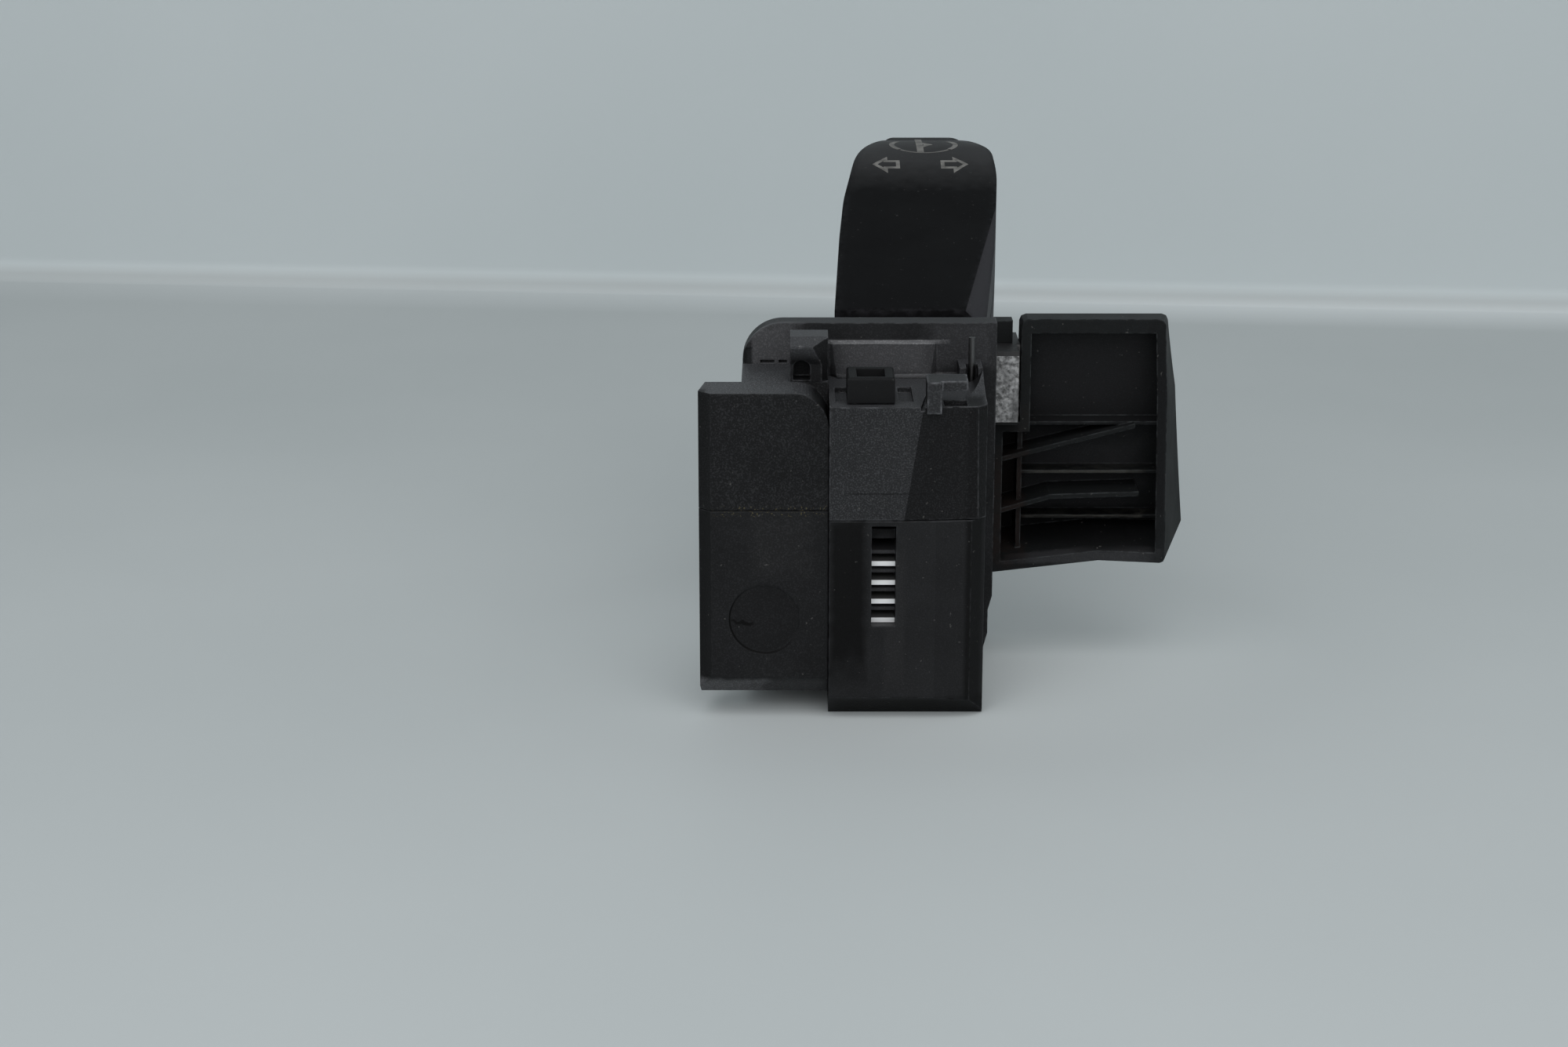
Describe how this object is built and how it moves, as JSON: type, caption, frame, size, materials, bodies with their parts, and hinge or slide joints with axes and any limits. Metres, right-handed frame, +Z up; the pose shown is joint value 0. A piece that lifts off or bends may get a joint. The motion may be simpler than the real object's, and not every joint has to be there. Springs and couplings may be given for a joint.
{
  "type": "combination stalk switch",
  "caption": "Vehicle stalk switch: plug-in block with contact blades, ribbed shroud and a flat signal lever that swings and tips on a carrier.",
  "frame": {"origin": "on the base plane, under the axis that the lever swings about", "axes": "+X to the shroud's side, +Y from the plug face to the lever's tip, +Z up, along the swivel axis"},
  "size_m": [0.0682, 0.1039, 0.0627],
  "materials": {
    "housing_plastic": "fine grain, slightly worn",
    "finger_plastic": "smooth matt",
    "lever_plastic": "soft satin",
    "inner_plastic": "smooth",
    "grey_plastic": "rough",
    "board": "lacquered",
    "contact_metal": "tinned",
    "steel": "bright"
  },
  "bodies": {
    "housing": {"rear_housing": "housing_plastic", "left_cover_upper": "housing_plastic", "left_cover_lower": "housing_plastic", "contact_cover": "housing_plastic", "terminal_housing": "housing_plastic", "latch_hook": "housing_plastic", "guide_rail": "housing_plastic", "shroud_shell": "housing_plastic", "shroud_clip": "housing_plastic", "terminal_blades": "contact_metal", "circuit_board": "board", "fixed_contacts": "contact_metal", "beam_plate": "board", "beam_contacts": "contact_metal", "detent_track": "inner_plastic", "upper_swivel_pin": "steel", "lower_swivel_pin": "steel", "housing_screws": "steel", "pawl_pin": "steel", "cancel_spring": "steel", "shroud_bracket": "grey_plastic"},
    "carrier": {"turn_carrier": "inner_plastic", "detent_plunger": "inner_plastic", "detent_spring": "steel", "lever_tilt_pin": "steel"},
    "lever": {"lever_core": "inner_plastic", "lever_shell_upper": "lever_plastic", "lever_shell_lower": "lever_plastic"},
    "turn_slider": {"turn_contact_slider": "inner_plastic", "turn_wipers": "contact_metal"},
    "beam_slider": {"beam_contact_slider": "inner_plastic", "beam_wipers": "contact_metal"},
    "finger": {"cancel_finger": "finger_plastic"}
  },
  "joints": [
    {"name": "turn_swing", "type": "hinge", "parent": "housing", "child": "carrier", "pos_m": [0, 0, 0.037], "axis": [0, 0, 1], "range_deg": [-8, 8]},
    {"name": "beam_tilt", "type": "hinge", "parent": "carrier", "child": "lever", "pos_m": [0, 0, 0.037], "axis": [1, 0, 0], "range_deg": [-5, 5]},
    {"name": "turn_contact_slide", "type": "slide", "parent": "housing", "child": "turn_slider", "axis": [1, 0, 0], "range_m": [-0.0015, 0.0015]},
    {"name": "beam_contact_slide", "type": "slide", "parent": "housing", "child": "beam_slider", "axis": [0, 0, 1], "range_m": [-0.0014, 0.0014]},
    {"name": "cancel_press", "type": "slide", "parent": "housing", "child": "finger", "axis": [0, 1, 0], "range_m": [0, 0.003], "stiffness_N_per_m": 400, "springref_m": -0.001, "deforming": ["cancel_spring"]}
  ],
  "couplings": [
    {"joint": "turn_contact_slide", "follows": "turn_swing", "m_per_rad": 0.01},
    {"joint": "beam_contact_slide", "follows": "beam_tilt", "m_per_rad": -0.0156}
  ]
}
